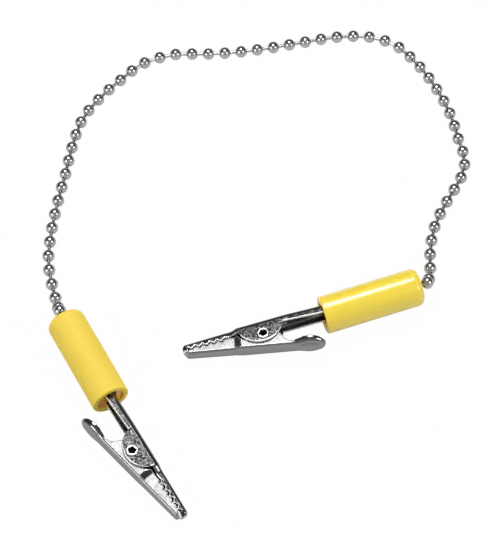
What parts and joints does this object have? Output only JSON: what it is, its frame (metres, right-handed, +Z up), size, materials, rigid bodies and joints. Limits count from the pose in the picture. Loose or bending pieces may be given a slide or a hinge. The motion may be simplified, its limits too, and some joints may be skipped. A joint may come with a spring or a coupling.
{
  "type": "ball chain lead with alligator clips",
  "caption": "Nickel-plated ball chain lead with a spring alligator clip at each end; a yellow plastic sleeve covers each clip's tail and turns on the chain's last ball.",
  "frame": {"origin": "middle of the base of the box around the two clips, on the surface that the lead lies on", "axes": "+Z up, +X along the longer side of the box around the two clips, +Y towards the far bend of the chain"},
  "size_m": [0.1105, 0.1523, 0.0114],
  "materials": {
    "chain_nickel": "nickel plate, bright",
    "upper_jaw_plate": "dark mottled bright plate over rough sheet steel",
    "lower_jaw_plate": "bright plate, satin web",
    "rivet_plate": "bright plate",
    "spring_wire": "drawn wire",
    "sleeve_vinyl": "glossy yellow moulded plastic"
  },
  "bodies": {
    "chain": {"ball_chain": "chain_nickel", "chain_end_ball_a": "chain_nickel", "chain_end_ball_b": "chain_nickel"},
    "clip_a": {"upper_jaw_a": "upper_jaw_plate", "pivot_rivet_a": "rivet_plate", "torsion_spring_a": "spring_wire", "sleeve_a": "sleeve_vinyl"},
    "lever_a": {"lower_jaw_a": "lower_jaw_plate"},
    "clip_b": {"upper_jaw_b": "upper_jaw_plate", "pivot_rivet_b": "rivet_plate", "torsion_spring_b": "spring_wire", "sleeve_b": "sleeve_vinyl"},
    "lever_b": {"lower_jaw_b": "lower_jaw_plate"}
  },
  "joints": [
    {"name": "swivel_a", "type": "hinge", "parent": "chain", "child": "clip_a", "pos_m": [-0.03679, 0.00885, 0.00577], "axis": [-0.4816, 0.8726, 0.0819], "continuous": true},
    {"name": "lever_a", "type": "hinge", "parent": "clip_a", "child": "lever_a", "pos_m": [-0.02491, -0.01757, 0.0034], "axis": [-0.0413, 0.0707, -0.9966], "range_deg": [0, 18], "stiffness_Nm_per_rad": 0.002, "springref_deg": -20.05, "deforming": ["torsion_spring_a"]},
    {"name": "swivel_b", "type": "hinge", "parent": "chain", "child": "clip_b", "pos_m": [0.03353, 0.02592, 0.00577], "axis": [-0.9515, -0.2965, -0.0819], "continuous": true},
    {"name": "lever_b", "type": "hinge", "parent": "clip_b", "child": "lever_b", "pos_m": [0.00647, 0.0158, 0.0034], "axis": [-0.0788, -0.0224, 0.9966], "range_deg": [0, 18], "stiffness_Nm_per_rad": 0.002, "springref_deg": -20.05, "deforming": ["torsion_spring_b"]}
  ]
}
